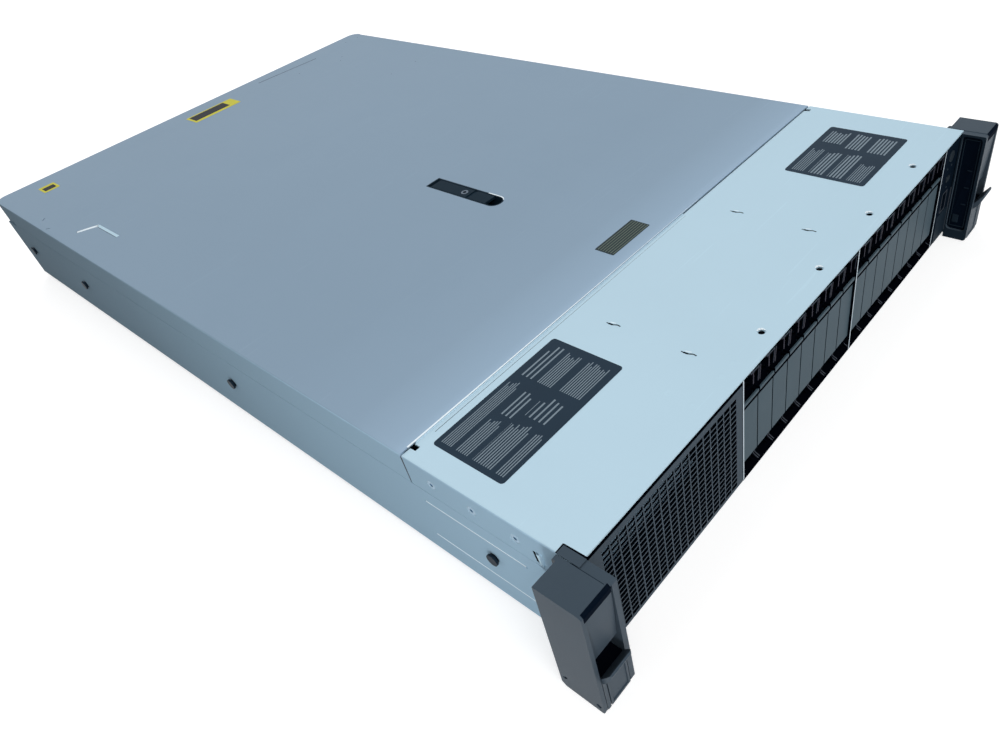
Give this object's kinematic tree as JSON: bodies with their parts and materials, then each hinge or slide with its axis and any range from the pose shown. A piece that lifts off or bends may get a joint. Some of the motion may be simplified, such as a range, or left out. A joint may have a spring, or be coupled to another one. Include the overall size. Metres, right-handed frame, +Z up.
{
  "type": "two-unit rack server",
  "caption": "Two-unit rack server with sliding latched hood, grille and blanked drive bays, rack ears with flip levers, fans, board and hot-plug supplies.",
  "frame": {"origin": "centre of the tray's flat underside, midway between the chassis's front and rear faces", "axes": "+X right as seen from the front, +Y from the front towards the rear, +Z up"},
  "size_m": [0.4838, 0.7804, 0.087],
  "materials": {
    "plate_steel": "pale zinc-coated sheet steel, fine grain",
    "tray_steel": "zinc-coated sheet steel, fine grain",
    "hood_steel": "zinc-coated sheet steel, fine grain, slightly darker",
    "cage_steel": "bright sheet steel",
    "bezel_plastic": "fine textured dark grey moulding",
    "blank_plastic": "fine textured slate grey moulding",
    "grille_paint": "dark grey powder coat",
    "panel_plastic": "satin black",
    "button_plastic": "satin light grey",
    "latch_plastic": "satin black",
    "lock_metal": "turned steel",
    "release_plastic": "satin dark red, the colour of hot-plug release tabs",
    "fan_plastic": "satin black",
    "board_laminate": "green solder mask",
    "socket_plastic": "satin black",
    "processor_metal": "nickel plated",
    "heatsink_aluminium": "mill finish fins",
    "baffle_plastic": "satin black",
    "port_metal": "nickel plated shells",
    "cable_jacket": "flat blue jacket",
    "screw_steel": "plain steel",
    "stud_steel": "blackened steel"
  },
  "bodies": {
    "chassis": {"chassis_tray": "tray_steel", "rear_panel": "tray_steel", "front_top_plate": "plate_steel", "right_ear": "bezel_plastic", "left_ear": "bezel_plastic", "captive_screws": "screw_steel", "bay_grille": "grille_paint", "drive_cages": "cage_steel", "port_plate": "port_metal", "drive_backplanes": "board_laminate", "drive_cables": "cable_jacket", "control_panel": "panel_plastic", "fan_cage": "tray_steel", "fan_frames": "fan_plastic", "system_board": "board_laminate", "processors": "processor_metal", "heatsinks": "heatsink_aluminium", "memory_sockets": "socket_plastic", "memory_modules": "board_laminate", "air_baffle": "baffle_plastic", "riser_cages": "tray_steel", "riser_boards": "board_laminate", "slot_covers": "cage_steel", "rear_ports": "port_metal", "rail_studs": "stud_steel", "flush_screws": "screw_steel"},
    "hood": {"hood": "hood_steel", "hood_latch_bezel": "latch_plastic"},
    "hood_lever": {"hood_latch_lever": "latch_plastic"},
    "hood_lock": {"hood_latch_lock": "lock_metal"},
    "left_lever": {"left_ear_lever": "bezel_plastic"},
    "right_lever": {"right_ear_lever": "bezel_plastic"},
    "power_button": {"power_button": "button_plastic"},
    "locator_button": {"locator_button": "button_plastic"},
    "blank_01": {"drive_blank_01": "blank_plastic"},
    "blank_02": {"drive_blank_02": "blank_plastic"},
    "blank_03": {"drive_blank_03": "blank_plastic"},
    "blank_04": {"drive_blank_04": "blank_plastic"},
    "blank_05": {"drive_blank_05": "blank_plastic"},
    "blank_06": {"drive_blank_06": "blank_plastic"},
    "blank_07": {"drive_blank_07": "blank_plastic"},
    "blank_08": {"drive_blank_08": "blank_plastic"},
    "blank_09": {"drive_blank_09": "blank_plastic"},
    "blank_10": {"drive_blank_10": "blank_plastic"},
    "blank_11": {"drive_blank_11": "blank_plastic"},
    "blank_12": {"drive_blank_12": "blank_plastic"},
    "blank_13": {"drive_blank_13": "blank_plastic"},
    "blank_14": {"drive_blank_14": "blank_plastic"},
    "blank_15": {"drive_blank_15": "blank_plastic"},
    "blank_16": {"drive_blank_16": "blank_plastic"},
    "rotor_1": {"fan_rotor_1": "fan_plastic"},
    "rotor_2": {"fan_rotor_2": "fan_plastic"},
    "rotor_3": {"fan_rotor_3": "fan_plastic"},
    "rotor_4": {"fan_rotor_4": "fan_plastic"},
    "rotor_5": {"fan_rotor_5": "fan_plastic"},
    "rotor_6": {"fan_rotor_6": "fan_plastic"},
    "supply_1": {"power_supply_1": "cage_steel"},
    "supply_1_latch": {"power_supply_1_latch": "release_plastic"},
    "supply_2": {"power_supply_2": "cage_steel"},
    "supply_2_latch": {"power_supply_2_latch": "release_plastic"}
  },
  "joints": [
    {"name": "hood_slide", "type": "slide", "parent": "chassis", "child": "hood", "axis": [0, 1, 0], "range_m": [0, 0.015]},
    {"name": "hood_lever_swing", "type": "hinge", "parent": "hood", "child": "hood_lever", "pos_m": [-0.0065, -0.0411, 0.0836], "axis": [-1, 0, 0], "range_deg": [0, 90]},
    {"name": "hood_lock_turn", "type": "hinge", "parent": "hood_lever", "child": "hood_lock", "pos_m": [-0.0065, -0.0716, 0.087], "axis": [0, 0, 1], "range_deg": [0, 90]},
    {"name": "left_lever_flip", "type": "hinge", "parent": "chassis", "child": "left_lever", "pos_m": [-0.22975, -0.379, 0.0055], "axis": [1, 0, 0], "range_deg": [0, 25], "stiffness_Nm_per_rad": 0.3, "springref_deg": -5.73},
    {"name": "right_lever_flip", "type": "hinge", "parent": "chassis", "child": "right_lever", "pos_m": [0.22975, -0.379, 0.0055], "axis": [1, 0, 0], "range_deg": [0, 25], "stiffness_Nm_per_rad": 0.3, "springref_deg": -5.73},
    {"name": "power_button_press", "type": "slide", "parent": "chassis", "child": "power_button", "axis": [0, 1, 0], "range_m": [0, 0.0014], "stiffness_N_per_m": 400, "springref_m": -0.0004},
    {"name": "locator_button_press", "type": "slide", "parent": "chassis", "child": "locator_button", "axis": [0, 1, 0], "range_m": [0, 0.0014], "stiffness_N_per_m": 400, "springref_m": -0.0004},
    {"name": "blank_01_pull", "type": "slide", "parent": "chassis", "child": "blank_01", "axis": [0, -1, 0], "range_m": [0, 0.046]},
    {"name": "blank_02_pull", "type": "slide", "parent": "chassis", "child": "blank_02", "axis": [0, -1, 0], "range_m": [0, 0.046]},
    {"name": "blank_03_pull", "type": "slide", "parent": "chassis", "child": "blank_03", "axis": [0, -1, 0], "range_m": [0, 0.046]},
    {"name": "blank_04_pull", "type": "slide", "parent": "chassis", "child": "blank_04", "axis": [0, -1, 0], "range_m": [0, 0.046]},
    {"name": "blank_05_pull", "type": "slide", "parent": "chassis", "child": "blank_05", "axis": [0, -1, 0], "range_m": [0, 0.046]},
    {"name": "blank_06_pull", "type": "slide", "parent": "chassis", "child": "blank_06", "axis": [0, -1, 0], "range_m": [0, 0.046]},
    {"name": "blank_07_pull", "type": "slide", "parent": "chassis", "child": "blank_07", "axis": [0, -1, 0], "range_m": [0, 0.046]},
    {"name": "blank_08_pull", "type": "slide", "parent": "chassis", "child": "blank_08", "axis": [0, -1, 0], "range_m": [0, 0.046]},
    {"name": "blank_09_pull", "type": "slide", "parent": "chassis", "child": "blank_09", "axis": [0, -1, 0], "range_m": [0, 0.046]},
    {"name": "blank_10_pull", "type": "slide", "parent": "chassis", "child": "blank_10", "axis": [0, -1, 0], "range_m": [0, 0.046]},
    {"name": "blank_11_pull", "type": "slide", "parent": "chassis", "child": "blank_11", "axis": [0, -1, 0], "range_m": [0, 0.046]},
    {"name": "blank_12_pull", "type": "slide", "parent": "chassis", "child": "blank_12", "axis": [0, -1, 0], "range_m": [0, 0.046]},
    {"name": "blank_13_pull", "type": "slide", "parent": "chassis", "child": "blank_13", "axis": [0, -1, 0], "range_m": [0, 0.046]},
    {"name": "blank_14_pull", "type": "slide", "parent": "chassis", "child": "blank_14", "axis": [0, -1, 0], "range_m": [0, 0.046]},
    {"name": "blank_15_pull", "type": "slide", "parent": "chassis", "child": "blank_15", "axis": [0, -1, 0], "range_m": [0, 0.046]},
    {"name": "blank_16_pull", "type": "slide", "parent": "chassis", "child": "blank_16", "axis": [0, -1, 0], "range_m": [0, 0.046]},
    {"name": "rotor_1_spin", "type": "hinge", "parent": "chassis", "child": "rotor_1", "pos_m": [-0.17, -0.118, 0.039], "axis": [0, 1, 0], "continuous": true},
    {"name": "rotor_2_spin", "type": "hinge", "parent": "chassis", "child": "rotor_2", "pos_m": [-0.102, -0.118, 0.039], "axis": [0, 1, 0], "continuous": true},
    {"name": "rotor_3_spin", "type": "hinge", "parent": "chassis", "child": "rotor_3", "pos_m": [-0.034, -0.118, 0.039], "axis": [0, 1, 0], "continuous": true},
    {"name": "rotor_4_spin", "type": "hinge", "parent": "chassis", "child": "rotor_4", "pos_m": [0.034, -0.118, 0.039], "axis": [0, 1, 0], "continuous": true},
    {"name": "rotor_5_spin", "type": "hinge", "parent": "chassis", "child": "rotor_5", "pos_m": [0.102, -0.118, 0.039], "axis": [0, 1, 0], "continuous": true},
    {"name": "rotor_6_spin", "type": "hinge", "parent": "chassis", "child": "rotor_6", "pos_m": [0.17, -0.118, 0.039], "axis": [0, 1, 0], "continuous": true},
    {"name": "supply_1_pull", "type": "slide", "parent": "chassis", "child": "supply_1", "axis": [0, 1, 0], "range_m": [0, 0.19]},
    {"name": "supply_1_latch_press", "type": "hinge", "parent": "supply_1", "child": "supply_1_latch", "pos_m": [-0.21285, 0.3604, 0.0115], "axis": [0, 0, -1], "range_deg": [0, 6], "stiffness_Nm_per_rad": 0.2, "springref_deg": -2.86},
    {"name": "supply_2_pull", "type": "slide", "parent": "chassis", "child": "supply_2", "axis": [0, 1, 0], "range_m": [0, 0.19]},
    {"name": "supply_2_latch_press", "type": "hinge", "parent": "supply_2", "child": "supply_2_latch", "pos_m": [-0.12585, 0.3604, 0.0115], "axis": [0, 0, -1], "range_deg": [0, 6], "stiffness_Nm_per_rad": 0.2, "springref_deg": -2.86}
  ],
  "couplings": [
    {"joint": "hood_lever_swing", "follows": "hood_slide", "rad_per_m": 104.7}
  ]
}
